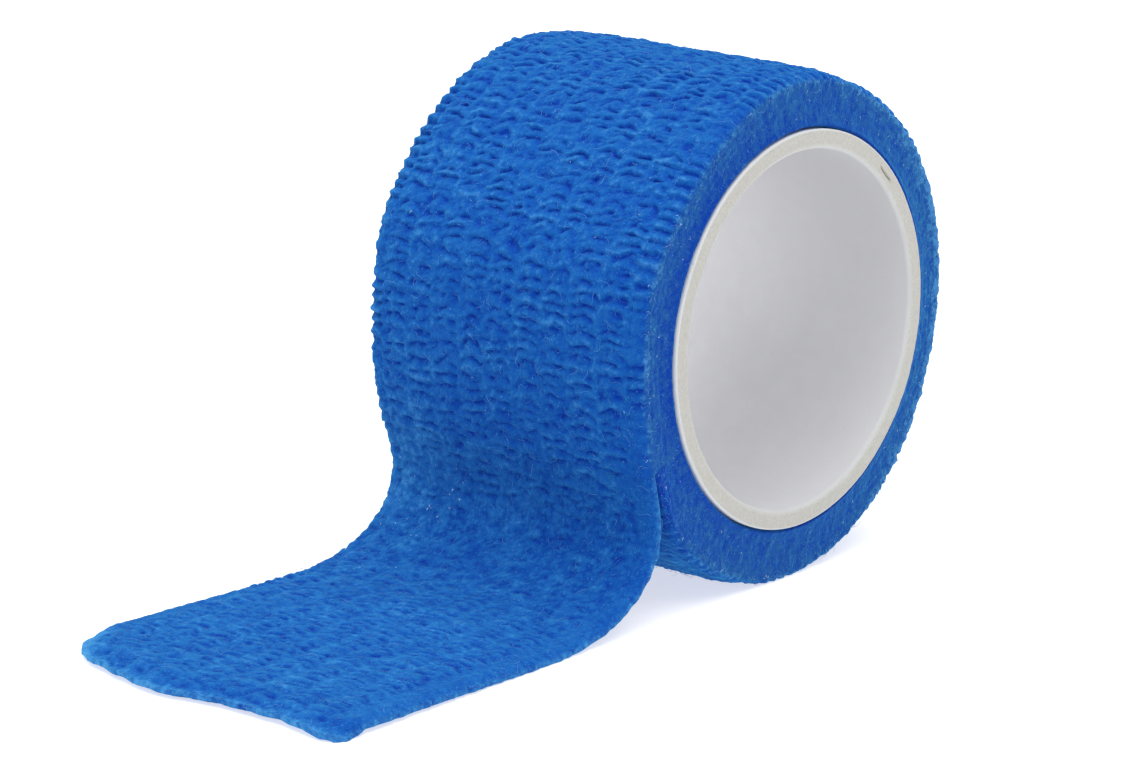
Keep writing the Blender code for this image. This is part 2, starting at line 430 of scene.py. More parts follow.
def column_waves(length, across, place, column):
    """Ridges less creases in one column. place is -1 and 1 at the column's threads."""
    rim = column in (0, COLUMNS - 1)
    drift = COLUMN_DRIFT * noise("drift", length / DRIFT_LENGTH, 7.31 * column)
    wobble = COLUMN_WOBBLE * noise("wobble", length / 1.1, across / 1.0)
    if rim:
        turns = length / RUNG_PITCH + 0.6 * drift + 0.4 * wobble
    else:
        turns = length / PUCKER_PITCH + drift + wobble - PUCKER_ARC * place**2
    turns = turns + COLUMN_START[column]
    height = WAVE_HEIGHT[np.floor(turns).astype(int) % WAVES_KEPT, column]
    off_crest = turns % 1 - 0.5
    ridge = np.exp(-((off_crest / RIDGE_WIDTH) ** 2)) + 0.15 * np.exp(-((off_crest / 0.1) ** 2))
    crease = np.exp(-((np.sin(np.pi * turns) / CREASE_WIDTH) ** 2))
    dash = smooth_step(-0.4, 0.35, noise("dash", length / DASH_LENGTH, across / DASH_WIDTH))
    if rim:
        patches = smooth_step(-0.4, 0.5, noise("drift", length / PATCH_LENGTH, 91.3 + column))
        return (0.12 + 0.4 * patches) * (RUNG_RIDGE * ridge - RUNG_CREASE * crease)
    inside = 1 - 0.8 * smooth_step(0.45, 0.95, np.abs(place))
    return RIDGE_HEIGHT * height * ridge - CREASE_DEPTH * dash * crease * inside


def crepe(length, across):
    """Pucker height, about 0 in a deep crease and 1 on the highest crest."""
    threads = thread_place(across) + 0.07 * noise("thread", length / 2.1, across / 2.5)
    total = np.zeros(np.broadcast(length, across).shape)
    weights = np.zeros_like(total)
    for column in range(COLUMNS):
        place = 2 * (threads - column) - 1
        weight = 1 - smooth_step(0.8, 1.2, np.abs(place))
        if column in (0, COLUMNS - 1):
            weight = np.where(place * (column - 0.5) > 0, 1.0, weight)
        total += weight * column_waves(length, across, place, column)
        weights += weight
    nearest = np.round(threads)
    shows = smooth_step(-0.5, 0.3, noise("thread", length / 1.7, 33 + 2.7 * nearest))
    thread = shows * np.exp(-(((threads - nearest) / THREAD_WIDTH) ** 2))
    puckers = total / np.maximum(weights, 1e-6) * (1 - 0.5 * thread) + THREAD_HEIGHT * thread
    kept = ridge_share(length)
    height = 0.5 + puckers * kept + crinkle(length, across) * (1.3 - 0.3 * kept)
    flat_from = PEEL + np.where(across < 0, -8, 18)
    flatter = smooth_step(flat_from, flat_from + FLATTER_LENGTH, length)
    flatter = flatter * smooth_step(10.4, 11.4, np.abs(across))
    return height + FLATTER_SHARE * (0.5 - height) * flatter


def ridge_share(length):
    """How much of each ridge is left: 1 on the roll, least in the bend, more on the flat end."""
    in_bend = np.exp(-(((length - PEEL - 6) / 7) ** 2))
    return 1 - BEND_FLATTER * in_bend - END_FLATTER * smooth_step(PEEL - 3, PEEL + 14, length)


def bend_painted_light(length, across):
    """Share of painted light on the far edge of the tape, where it leaves the roll and bends."""
    return smooth_step(3, 11, across) * np.exp(-(((length - PEEL - 3) / 6) ** 2))


def crinkle(length, across):
    """Finer creases that wander between the ridges, and the roughness of the fibre mat.

    A crease is a bell curve round the zero line of a noise. The mat is a sum of noises, each with
    its layer, a shift that makes it differ, its height, and its size along and across the tape.
    """
    hill = noise("crinkle", length / 0.5, across / 0.75)
    crease = np.exp(-((hill / 0.18) ** 2))
    dash = smooth_step(-0.3, 0.5, noise("dash", 50 + length / 1.1, 50 + across / 1.1))
    mat = sum(
        height * noise(layer, shift + length / along, shift + across / wide)
        for layer, shift, height, along, wide in MAT_NOISE
    )
    return mat - CRINKLE_DEPTH * dash * crease


def rim_height(across):
    """How much taller a pucker stands near the tape's edges, where nothing holds it down."""
    lift = np.where(across > 0, FAR_RIM_LIFT, NEAR_RIM_LIFT)
    return 1 + lift * smooth_step(10.6, 12.0, np.abs(across))


def column_relief(across):
    """Height over the tape's crown: low at both edges, with a rounded column between threads."""
    crown = -SHOULDER_DROP * np.abs(2 * across / TAPE_WIDTH) ** SHOULDER_POWER
    return crown + COLUMN_HEIGHT * np.sin(np.pi * thread_place(across)) ** 2


# %% [markdown]
# ## Turning grids into meshes
#
# Every piece of cloth here is a row of closed loops, like the rings of a worm: each loop goes
# once round the tape's cross-section, and the rows go along the tape. Joining each loop to the
# next gives quads that all face outwards, and both ends are closed. Two values go with every
# point, so that the material knows where it is: how high it stands in the crepe, which the
# material turns into painted shade and highlight and which also carries the painted light and
# shade of the sides, and how much it belongs to a cut side. The UV map holds the place along and
# across the tape. The core is made the same way, and the near half of every cross-section mirrors
# its far half.


# %% Grid helpers
MIRROR = (-1, 1, 1, -1, 1)


def loop_rows(*columns):
    """Rows of a cross-section: place across, depth, a share, and normal (y, outward)."""
    return np.column_stack(np.broadcast_arrays(*columns))


def quarter_round(half, radius, degrees):
    """Rows of the rounded corner at a cross-section's far side, with a share of 0."""
    out_y, outward = np.sin(np.radians(degrees)), np.cos(np.radians(degrees))
    return loop_rows(half - radius * (1 - out_y), radius * (1 - outward), 0, out_y, outward)


def grid_quads(rows, loop, ring=False):
    """Quads between neighbouring loops, turned outwards. A ring's last row joins its first."""
    index = np.arange(rows * loop).reshape(rows, loop)
    beside = np.roll(index, -1, axis=1)
    start = index if ring else index[:-1]
    start_beside = beside if ring else beside[:-1]
    end = np.roll(index, -1, axis=0) if ring else index[1:]
    end_beside = np.roll(beside, -1, axis=0) if ring else beside[1:]
    return np.stack([start, start_beside, end_beside, end], axis=-1).reshape(-1, 4)


def fan_caps(points):
    """The middle point of the first and last loop, and triangles from it to the loop."""
    rows, loop = points.shape[:2]
    first = np.arange(loop)
    beside = np.roll(first, -1)
    last = first + (rows - 1) * loop
    start_cap = np.column_stack([np.full(loop, rows * loop), beside, first])
    end_cap = np.column_stack([np.full(loop, rows * loop + 1), last, np.roll(last, -1)])
    return points[[0, -1]].mean(axis=1), np.vstack([start_cap, end_cap])


def strip_caps(points):
    """Quads across the first and last loop of a thin sheet, from each point to the one opposite."""
    rows, loop = points.shape[:2]
    here = np.arange(loop // 2 - 1)
    opposite = loop - 1 - here
    start_cap = np.column_stack([here, opposite, opposite - 1, here + 1])
    return np.vstack([start_cap, start_cap[:, ::-1] + (rows - 1) * loop])


def smooth_object(name, points, faces, values, place_uv, caps=0):
    """A smooth object from points in mm, with point values and UV map. Its last caps stay flat."""
    mesh = bpy.data.meshes.new(name)
    mesh.from_pydata((points * MM).tolist(), [], faces)
    for value_name, value in values.items():
        layer = mesh.attributes.new(value_name, "FLOAT", "POINT")
        layer.data.foreach_set("value", value.astype(np.float32))
    corners = np.empty(len(mesh.loops), np.int32)
    mesh.loops.foreach_get("vertex_index", corners)
    uv_layer = mesh.uv_layers.new(name="tape")
    uv_layer.data.foreach_set("uv", place_uv[corners].astype(np.float32).ravel())
    mesh.polygons.foreach_set("use_smooth", np.arange(len(faces)) < len(faces) - caps)
    piece = bpy.data.objects.new(name, mesh)
    bpy.context.scene.collection.objects.link(piece)
    mesh.calc_loop_triangles()
    print(name, "has", len(mesh.loop_triangles), "triangles")
    return piece


def grid_normals(points):
    """Unit normal at each grid point: across the loop, times along the rows."""
    along_loop = np.roll(points, -1, axis=1) - np.roll(points, 1, axis=1)
    along_rows = np.gradient(points, axis=0)
    normal = np.cross(along_loop, along_rows)
    return normal / np.maximum(np.linalg.norm(normal, axis=2, keepdims=True), 1e-9)


# %% [markdown]
# ## The wound tape
#
# On a real roll only the outermost turn shows from above, and on the sides the edges of all the
# turns, pressed together like felt. So the wound tape is a ring with one detailed skin: crepe on
# its outer face, the edges of about six turns on its sides, and a plain bore that the core hides.
# The edges form a mat of cut fibre ends. A painted highlight makes its outer rim paler, most on
# the side away from the loose end, and painted shade darkens it next to the core. Under the loose
# end the cloth was covered until the end was pulled off, so there it is smoother, and painted
# shadow makes it deeper blue.
#
# The skin is an even cross-section (face, rounded corner, side, bore) carried along the line,
# and pushed in or out along its own normal. A modifier could push it too, but the crepe has to
# follow the tape's threads, so it is worked out here. The ring is made in three parts, which
# keeps each below 200,000 triangles with a pucker still twelve points long.

# %% Sizes of the wound tape
CORE_RADIUS = 14.3
CORE_SQUEEZE = 0.1
CORE_SQUEEZE_ANGLE = math.radians(-28)
CORE_CLEARANCE = 0.04
PUCKER_HEIGHT = 0.34
PUCKER_LEAN = 0.4
CORNER = 0.32
POINTS_PER_COLUMN = 12
FACE_COUNT = POINTS_PER_COLUMN * COLUMNS + 1
SIDE_POINTS = 20
SIDE_DISH = 0.1
TURN_RELIEF = 0.05
BORE_RISE = 0.34
RUNG_RELIEF = 0.16
BARE_LENGTH = 10
# Under the loose end the crepe is lower, and painted shadow makes the cloth deeper blue.
COVERED_RELIEF, COVERED_PAINTED_SHADOW = 0.2, 0.5
SIDE_TONE, RELIEF_TONE = 0.3, 2.0
# Painted light and shade of the sides: a highlight at the outer rim, more on the right, shadow
# where the loose end covers it, and shade next to the core.
SIDE_RIM_PAINTED_HIGHLIGHT, COVERED_RIM_PAINTED_SHADOW, RIGHT_RIM_PAINTED_HIGHLIGHT, CORE_EDGE_PAINTED_SHADE = 0.6, -0.5, 0.8, -0.7
FELT_NOISE = (("turn", 0, 0.08, 1.1), ("felt", 0, 0.05, 0.6), ("felt", 60, 0.02, 0.3))
LEAST_HEIGHT = 0.02
HALF_WIDTH = TAPE_WIDTH / 2


def core_radius(angle):
    """Outer radius of the core, which is squeezed a little out of round."""
    return CORE_RADIUS + CORE_SQUEEZE * np.cos(2 * (angle - CORE_SQUEEZE_ANGLE))


def wound_section():
    """One loop: rows of place across, fixed depth, share of full depth, and normal (y, radial)."""
    inset = HALF_WIDTH - CORNER
    face = loop_rows(np.linspace(-inset, inset, FACE_COUNT), 0, 0, 0, 1)
    corner = quarter_round(HALF_WIDTH, CORNER, [18, 36, 54, 72])
    down = np.linspace(0, 1, SIDE_POINTS)
    side = loop_rows(HALF_WIDTH, CORNER * (1 - 1.5 * down), down, 1, 0)
    bore = loop_rows(np.linspace(inset, -inset, 4), 0, 1, 0, -1)
    far = np.vstack([corner, side])
    return np.vstack([face, far, bore, far[::-1] * MIRROR]).T


def side_relief(x, z, radius, edge_radius):
    """Height of a felted side, about -0.2 to 0.2: faint turns under a mat of cut fibre ends.

    The mat is a sum of noises, each with its layer, a shift, its height and its size.
    """
    turns_down = (edge_radius - radius) / TURN
    ridge = np.abs(np.sin(np.pi * turns_down)) ** 0.6
    mat = sum(
        height * noise(layer, shift + x / size, shift + z / size)
        for layer, shift, height, size in FELT_NOISE
    )
    return TURN_RELIEF * (ridge - 0.6) + mat


def wound_skin(start, end, rows):
    """Points, crepe height, side share and tape place of one part of the wound tape's skin.

    The face is pushed by the crepe, and the sides by the felt, less a shallow dish, with the
    turns at the core pressed up against it. A side's tone follows its relief and its depth: a
    painted highlight at its outer rim and on the corner, painted shade next to the core, and
    painted shadow under the loose end.
    """
    length = np.linspace(start, end, rows)[:, None]
    across, fixed, share, out_y, out_r = (row[None, :] for row in wound_section())
    (line_x, line_z), _, (run_x, run_z) = on_line(length, across)
    line_radius = np.hypot(line_x, line_z - AXIS_HEIGHT)
    angle = np.arctan2(line_z - AXIS_HEIGHT, line_x)
    surface = line_radius + column_relief(across)
    full_depth = surface - core_radius(angle) - CORE_CLEARANCE
    depth = fixed + share * full_depth
    radius = surface - depth
    height = crepe(length, across)
    on_face = np.clip(out_r, 0, 1) ** 2
    on_side = out_y**2
    bulge = side_relief(
        radius * np.cos(angle), radius * np.sin(angle), radius, line_radius - SHOULDER_DROP
    )
    bulge = bulge * (1 - np.exp(-(full_depth - depth) / 0.35))
    bulge = bulge * (1 - smooth_step(PEEL - 5, PEEL, length) * np.exp(-((depth / 1.2) ** 2)))
    bared = smooth_step(0, BARE_LENGTH, length)
    rung = bared * (height - 0.5) * np.exp(-depth / 0.45)
    dish = SIDE_DISH * np.sin(np.pi * np.clip(depth / full_depth, 0, 1))
    dish = dish - BORE_RISE * np.exp(-(full_depth - depth) / 0.5)
    relief = rim_height(across) * (COVERED_RELIEF + (1 - COVERED_RELIEF) * bared)
    push = PUCKER_HEIGHT * relief * (height - 0.5) * on_face
    push = push + (bulge - dish + RUNG_RELIEF * rung) * on_side
    radius = radius + out_r * push
    lean = PUCKER_LEAN * PUCKER_HEIGHT * (height - 0.5) * on_face
    x = radius * np.cos(angle) + run_x * lean
    z = AXIS_HEIGHT + radius * np.sin(angle) + run_z * lean
    y = across + out_y * push
    points = np.stack([x, y, np.maximum(z, LEAST_HEIGHT)], axis=-1)
    # Painted highlight on the sides' outer rim, which turns to painted shadow under the loose end.
    side_rim_painted_light_and_shadow = COVERED_RIM_PAINTED_SHADOW + (SIDE_RIM_PAINTED_HIGHLIGHT - COVERED_RIM_PAINTED_SHADOW) * bared
    # Share towards the right of the roll, where the painted highlight on the rim is stronger.
    right_side_share = smooth_step(0.3, 0.95, np.cos(angle))
    side_tone = SIDE_TONE + RELIEF_TONE * bulge + side_rim_painted_light_and_shadow * np.exp(-depth / 0.55)
    # Painted shade on the sides next to the core.
    side_tone = side_tone + CORE_EDGE_PAINTED_SHADE * np.exp(-(full_depth - depth) / 0.25)
    side_tone = side_tone + RIGHT_RIM_PAINTED_HIGHLIGHT * right_side_share * np.exp(-depth / 1.0)
    # The rounded corner between face and side gets a painted highlight.
    pucker = np.where(on_side > 0.6, side_tone, height + 0.5 * on_side)
    # Painted light: on the far edge of the bend, and along the far rim, where light shows through
    # the thin cloth.
    pucker = pucker + 0.2 * bend_painted_light(length, across) + 0.12 * smooth_step(11.2, 12.2, across)
    # Painted shadow under the loose end.
    pucker = pucker - COVERED_PAINTED_SHADOW * (1 - bared) * np.exp(-((depth / 1.5) ** 2))
    return points, pucker, on_side + 0 * length, length + 0 * across, across + 0 * length


# %% Make the three parts
PART_ROWS = 470
PART_NAMES = ("wound_tape_under", "wound_tape_back", "wound_tape_front")
UV_SPAN = 200.0


def wound_part(name, start, end):
    """One closed part of the wound tape, as an object. Also returns its grid of points."""
    points, pucker, side, length, across = wound_skin(start, end, PART_ROWS)
    middles, caps = fan_caps(points)
    quads = grid_quads(*points.shape[:2])
    all_points = np.vstack([points.reshape(-1, 3), middles])
    spare = np.zeros(2)
    values = {
        "pucker": np.append(np.clip(pucker, -0.2, 1.3), spare),
        "side": np.append(side, spare),
    }
    uv = np.column_stack([length.ravel(), across.ravel()]) / UV_SPAN + 0.5
    uv = np.vstack([uv, np.zeros((2, 2))])
    piece = smooth_object(name, all_points, quads.tolist() + caps.tolist(), values, uv, len(caps))
    return piece, points


part_ends = np.linspace(0, PEEL, len(PART_NAMES) + 1)
wound_parts, wound_grids = [], []
for part_name, part_start, part_end in zip(PART_NAMES, part_ends[:-1], part_ends[1:]):
    part, part_grid = wound_part(part_name, part_start, part_end)
    wound_parts.append(part)
    wound_grids.append(part_grid)

# %% [markdown]
# ## The loose end
#
# The free end is the same cloth, a little pulled out, so its crepe is lower and finer. It leaves
# the roll where the outermost turn stops, bends on a curve of about 8 mm radius, and lies flat
# on its own thickness up to an uneven cut made with scissors. Its grid has the same columns as
# the wound tape, so threads and puckers run on across the join. The rows of the flat part are
# spread between the bend and the cut, which differs from place to place across the tape. Its
# first rows stand off along the roll's own radius, so that its edges meet the roll's too.

# %% Sizes of the loose end
END_CUT = (
    (-12.5, -44.8),
    (-12.1, -45.4),
    (-11.3, -45.8),
    (-10.2, -45.9),
    (-7.9, -45.7),
    (-3.4, -46.1),
    (-1.2, -46.6),
    (0.7, -47.3),
    (2.5, -47.6),
    (5.7, -47.3),
    (9.1, -46.8),
    (10.4, -46.2),
    (11.5, -45.2),
    (12.2, -43.7),
    (12.5, -42.2),
)
SHEET_THICKNESS = 0.62
LAID_THICKNESS = 0.95
RIM_RADIUS = 0.24
CUT_THICKNESS = 0.32
LOOSE_PUCKER_HEIGHT = 0.3
CALM_LENGTH = 1.2
SINK, SINK_LENGTH = 0.55, 2.2
RIM_SWAY = 0.3
FRAY = 0.1
TURNED_LENGTH, JOINED_LENGTH, PULLED_LENGTH = 3, 5, 6
TIP_LIFT = 0.2
TIP_LIFT_START = 0.7
LAID_FROM, LAID_TO = -21, -25
WAVE_SIZE, WAVE_ALONG, WAVE_ACROSS = 0.12, 33, 25
# The second value is painted light on the far edge of the bend.
FAR_CUT_CORNER_TONE, BEND_PAINTED_LIGHT, CALM_TONE = 0.6, 0.26, 0.22
BEND_ROWS = 130
FLAT_ROWS = 165
RIM_POINTS = 3


def sheet_section():
    """One loop: rows of place across, rim depth, share of thickness, and normal (y, outward)."""
    inset = HALF_WIDTH - RIM_RADIUS
    top = loop_rows(np.linspace(-inset, inset, FACE_COUNT), 0, 0, 0, 1)
    rim = quarter_round(HALF_WIDTH, RIM_RADIUS, np.linspace(0, 90, RIM_POINTS + 1)[1:] - 15)
    top_side = np.vstack([rim[::-1] * MIRROR, top, rim])
    under_side = top_side[::-1] * (1, -1, 1, 1, -1)
    under_side[:, 2] = 1
    return np.vstack([top_side, under_side]).T


def loose_skin():
    """Points, crepe height, side share and tape place of the loose end's skin.

    Each point stands off from the line along its normal: by the columns, the crepe and a gentle
    wave, less its share of the cloth's thickness. Towards the cut the cloth thins and sinks flat.
    """
    across, fixed, share, out_y, out_r = (row[None, :] for row in sheet_section())
    cut = np.array(END_CUT)
    ragged = 0.03 * noise("thread", 9.5, across / 0.9)
    flat_length = LOOSE_PATH[-1][0] - np.interp(across, cut[:, 0], cut[:, 1]) + ragged
    bend_length = np.linspace(PEEL, FLAT_START, BEND_ROWS)[:, None] + 0 * across
    along = np.linspace(0, 1, FLAT_ROWS + 1)[1:, None]
    length = np.vstack([bend_length, FLAT_START + along * flat_length])
    along_all = np.vstack([np.zeros((BEND_ROWS, 1)), along])
    from_cut = np.where(along_all > 0, (1 - along_all) * flat_length, 99.0)
    (line_x, line_z), (normal_x, normal_z), (run_x, run_z) = on_line(length, across)
    turned = smooth_step(PEEL, PEEL + TURNED_LENGTH, length)
    line_radius = np.hypot(line_x, line_z - AXIS_HEIGHT)
    normal_x = turned * normal_x + (1 - turned) * line_x / line_radius
    normal_z = turned * normal_z + (1 - turned) * (line_z - AXIS_HEIGHT) / line_radius
    laid = smooth_step(LAID_FROM, LAID_TO, line_x)
    pulled = smooth_step(PEEL, PEEL + PULLED_LENGTH, length)
    height = crepe(length, across)
    calm = smooth_step(0, CALM_LENGTH, from_cut)
    pucker_height = PUCKER_HEIGHT + (LOOSE_PUCKER_HEIGHT - PUCKER_HEIGHT) * pulled
    pucker_height = pucker_height * (0.3 + 0.7 * calm)
    push = pucker_height * rim_height(across) * (height - 0.5)
    thickness = SHEET_THICKNESS + (LAID_THICKNESS - SHEET_THICKNESS) * laid
    thickness = thickness + (CUT_THICKNESS - thickness) * (1 - calm)
    edge_thin = np.abs(across / HALF_WIDTH) ** SHOULDER_POWER
    thickness = thickness + (2 * RIM_RADIUS - thickness) * edge_thin
    lift = TIP_LIFT * np.clip((along_all - TIP_LIFT_START) / (1 - TIP_LIFT_START), 0, 1) ** 2
    wave = np.sin(math.tau * line_x / WAVE_ALONG) * np.cos(math.tau * across / WAVE_ACROSS)
    sink = SINK * (1 - smooth_step(0, SINK_LENGTH, from_cut))
    rise = column_relief(across) + lift + WAVE_SIZE * wave * laid - sink
    joined = 1 - smooth_step(PEEL, PEEL + JOINED_LENGTH, length)
    rim = fixed * (1 + (CORNER / RIM_RADIUS - 1) * joined)
    off = rise - share * thickness - rim + np.where(share > 0, 0.5, 1.0) * push * np.abs(out_r)
    lean = PUCKER_LEAN * push * np.clip(out_r, 0, 1)
    x = line_x + normal_x * off + run_x * lean
    z = line_z + normal_z * off + run_z * lean
    frayed = FRAY * noise("felt", length / 0.5, 30 + across) * (1 - joined)
    y = across + out_y * (RIM_SWAY * push + frayed)
    points = np.stack([x, y, np.maximum(z, LEAST_HEIGHT)], axis=-1)
    side = np.maximum(out_y**2, 0.8 * (1 - smooth_step(0, 0.5, from_cut)))
    # Paler towards the far corner of the cut.
    far_cut_corner = smooth_step(8, 12, across) * (1 - smooth_step(0.5, 4, from_cut))
    tone = height + CALM_TONE * (1 - calm) + FAR_CUT_CORNER_TONE * far_cut_corner
    # Painted light on the far edge of the bend.
    tone = tone + BEND_PAINTED_LIGHT * bend_painted_light(length, across)
    return points, tone, side, length, across + 0 * length


loose_points, loose_pucker, loose_side, loose_length, loose_across = loose_skin()
quads, caps = grid_quads(*loose_points.shape[:2]), strip_caps(loose_points)
loose_end = smooth_object(
    "loose_tape",
    loose_points.reshape(-1, 3),
    quads.tolist() + caps.tolist(),
    {"pucker": np.clip(loose_pucker, -0.2, 1.3).ravel(), "side": loose_side.ravel()},
    np.column_stack([loose_length.ravel(), loose_across.ravel()]) / UV_SPAN + 0.5,
    len(caps),
)

# %% [markdown]
# ## Loose fibres
#
# Non-woven cloth is a mat of fine fibres, and some stand up from its face, mostly along the cut
# sides. Real ones are about 0.02 mm thick, a third of a pixel here, so they are drawn 0.034 mm
# thick, as coarse as they need to be to soften the outline and catch a little light. Each is a
# tube with three sides, bowed between two points or free at one end. A particle system would also
# make them, but a mesh exports as it is. Short pale ones are lint: some lie all over the roll,
# more along the edges of its sides, and a few have gathered in the hollow of the bend, at its far
# edge.

# %% Fibres
FIBRE_STEPS = 5
FIBRE_RADIUS = 0.017


def fibre_mesh(name, roots, normals, count, reach, radius, curl):
    """Thin bowed tubes on a surface: a root, a run along the surface, and a bow or free end."""
    pick = random.integers(0, len(roots), count)
    root, normal = roots[pick], normals[pick]
    aim = random.normal(size=(count, 3))
    aim = aim - normal * np.sum(aim * normal, axis=1, keepdims=True)
    aim = aim / np.linalg.norm(aim, axis=1, keepdims=True)
    beside = np.cross(normal, aim)
    span = reach * random.uniform(0.4, 1.0, (count, 1))
    stand = random.uniform(0.02, 0.22, (count, 1)) * span
    free = random.random((count, 1)) < 0.3
    t = np.linspace(0, 1, FIBRE_STEPS)[None, :, None]
    bow = np.where(free[:, None], t**1.5, np.sin(np.pi * t)) * stand[:, None]
    sway = curl * np.sin(math.tau * t * 0.8 + random.uniform(0, 6, (count, 1, 1))) * span[:, None]
    path = root[:, None] + aim[:, None] * t * span[:, None] + normal[:, None] * (bow - 0.02)
    path = path + beside[:, None] * sway
    turn = np.arange(3) * math.tau / 3
    ring = beside[:, None] * np.cos(turn)[None, :, None]
    ring = ring + normal[:, None] * np.sin(turn)[None, :, None]
    thin = radius * (1 - 0.6 * t)
    points = path[:, :, None] + ring[:, None] * thin[..., None]
    corner = np.arange(FIBRE_STEPS * 3).reshape(FIBRE_STEPS, 3)
    beside_corner = np.roll(corner, -1, axis=1)
    walls = np.stack([corner[:-1], beside_corner[:-1], beside_corner[1:], corner[1:]], axis=-1)
    start = np.arange(count)[:, None, None] * FIBRE_STEPS * 3
    walls = (walls.reshape(1, -1, 4) + start).reshape(-1, 4)
    ends = np.array([[2, 1, 0], [corner[-1, 0], corner[-1, 1], corner[-1, 2]]])
    ends = (ends[None] + start).reshape(-1, 3)
    points = points.reshape(-1, 3)
    points[:, 2] = np.maximum(points[:, 2], LEAST_HEIGHT / 2)
    tone = np.repeat(random.random(count), FIBRE_STEPS * 3)
    uv = np.zeros((len(points), 2))
    return smooth_object(name, points, walls.tolist() + ends.tolist(), {"tone": tone}, uv)


def skin_roots(grids, chosen):
    """Points and normals of the chosen loop places of several grids."""
    points = np.vstack([grid[:, chosen].reshape(-1, 3) for grid in grids])
    normals = np.vstack([grid_normals(grid)[:, chosen].reshape(-1, 3) for grid in grids])
    return points, normals


LOOP_COUNT = wound_grids[0].shape[1]
SIDE_COUNT = SIDE_POINTS + 4


def side_places(first, last):
    """Loop places on both cut sides, counted from the corner that the face ends in."""
    far = np.arange(FACE_COUNT + first, FACE_COUNT + last)
    return np.concatenate([far, LOOP_COUNT - 1 - np.arange(first, last)])


face_skin = skin_roots(wound_grids, np.arange(FACE_COUNT))
side_skin = skin_roots(wound_grids, side_places(4, SIDE_COUNT - 3))
edge_skin = skin_roots(wound_grids, side_places(0, 6))
loose_face_skin = skin_roots([loose_points], np.arange(FACE_COUNT + 2 * RIM_POINTS))
face_fuzz, side_fuzz, edge_fuzz, loose_fuzz = (
    fibre_mesh(name, *skin, count, reach, FIBRE_RADIUS, curl)
    for name, skin, count, reach, curl in (
        ("face_fibres", face_skin, 1700, 1.2, 0.16),
        ("side_fibres", side_skin, 600, 0.7, 0.2),
        ("edge_fibres", edge_skin, 600, 0.7, 0.2),
        ("loose_fibres", loose_face_skin, 700, 1.1, 0.16),
    )
)

# %% Lint
LINT_MIDDLE, LINT_REACH, LINT_FROM = 8, 6, 4
LINT_CURL = 0.2
in_bend = np.abs(loose_length - PEEL - LINT_MIDDLE) < LINT_REACH
in_bend = in_bend & (loose_across > LINT_FROM) & (np.arange(loose_points.shape[1]) < FACE_COUNT)
bend_roots = (loose_points[in_bend], grid_normals(loose_points)[in_bend])
bend_lint, face_lint, side_lint, edge_lint = (
    fibre_mesh(name, *skin, count, reach, thicker * FIBRE_RADIUS, LINT_CURL)
    for name, skin, count, reach, thicker in (
        ("bend_lint", bend_roots, 44, 0.22, 2.2),
        ("face_lint", face_skin, 130, 0.24, 1.5),
        ("side_lint", side_skin, 160, 0.25, 1.5),
        ("edge_lint", edge_skin, 150, 0.25, 1.6),
    )
)

# %% [markdown]
# ## The core
#
# The core is a short tube of white paperboard, spirally wound and cut to length, so its ends are
# rings of cut board with slightly crushed, rounded rims. It is a spun shape: one rounded
# rectangle carried round the axis, with the measured squeeze. A single ply has opened for about
# 2 mm near the top right of the near rim, which is a narrow groove pressed into the ring. The
# bore's colour carries painted shade: it is greyer towards the near end and in its upper half.

# %% Sizes of the core
CORE_LENGTH = 25.8
CORE_WALL = 1.4
BOARD_RIM = 0.15
BORE_RIM = 0.4
CORE_ROWS = 400
PLY_GAP_ANGLE = math.radians(48)
PLY_GAP_RADIUS = 13.5
PLY_GAP_HALF_LENGTH = 0.95
PLY_GAP_HALF_WIDTH = 0.07
PLY_GAP_DEPTH = 0.2
# Painted shade of the bore, towards its near end and in its upper half.
NEAR_PAINTED_SHADE, UPPER_PAINTED_SHADE = 0.6, 0.35


def core_section():
    """One loop: rows of y, depth from the outer wall, share of ring, and normal (y, radial)."""
    half = CORE_LENGTH / 2
    degrees = np.array([0, 22.5, 45, 67.5, 90])
    outer_y = np.linspace(-half + BOARD_RIM, half - BOARD_RIM, 14)[1:-1]
    inner_y = np.linspace(half - BORE_RIM, -half + BORE_RIM, 14)[1:-1]
    ring = loop_rows(half, np.linspace(BOARD_RIM, CORE_WALL - BORE_RIM, 22)[1:-1], 0, 1, 0)
    bore_rim = quarter_round(half, BORE_RIM, degrees[::-1]) * (1, -1, 1, 1, -1)
    bore_rim[:, 1] += CORE_WALL
    far = np.vstack([quarter_round(half, BOARD_RIM, degrees), ring, bore_rim])
    far[:, 2] = far[:, 3] ** 2
    outer = loop_rows(outer_y, 0, 0, 0, 1)
    inner = loop_rows(inner_y, CORE_WALL, 0, 0, -1)
    return np.vstack([outer, far, inner, far[::-1] * MIRROR]).T


around = np.linspace(0, math.tau, CORE_ROWS, endpoint=False)[:, None]
core_rows = core_section()[:, None, :]
board_y, board_depth, ring_share, board_out_y, board_out_r = core_rows
board_radius = core_radius(around) - board_depth
rim_wave = 0.05 * noise("board", 20 + 3 * np.cos(around), 3 * np.sin(around))
board_x, board_z = board_radius * np.cos(around), board_radius * np.sin(around)
board_grain = 0.022 * noise("board", board_x / 0.5, board_z / 0.5) * ring_share
board_grain = board_grain + 0.01 * noise("board", board_x / 0.22, board_z / 0.22) * ring_share
gap_along = (around - PLY_GAP_ANGLE) * PLY_GAP_RADIUS
gap_across = board_radius - PLY_GAP_RADIUS - 0.1 * (gap_along / PLY_GAP_HALF_LENGTH) ** 2
ply_gap = np.exp(-((gap_across / PLY_GAP_HALF_WIDTH) ** 2)) * (board_out_y < -0.5)
ply_gap = ply_gap * (1 - smooth_step(0.75, 1.0, np.abs(gap_along) / PLY_GAP_HALF_LENGTH))
board_push = board_grain + rim_wave * ring_share - PLY_GAP_DEPTH * ply_gap
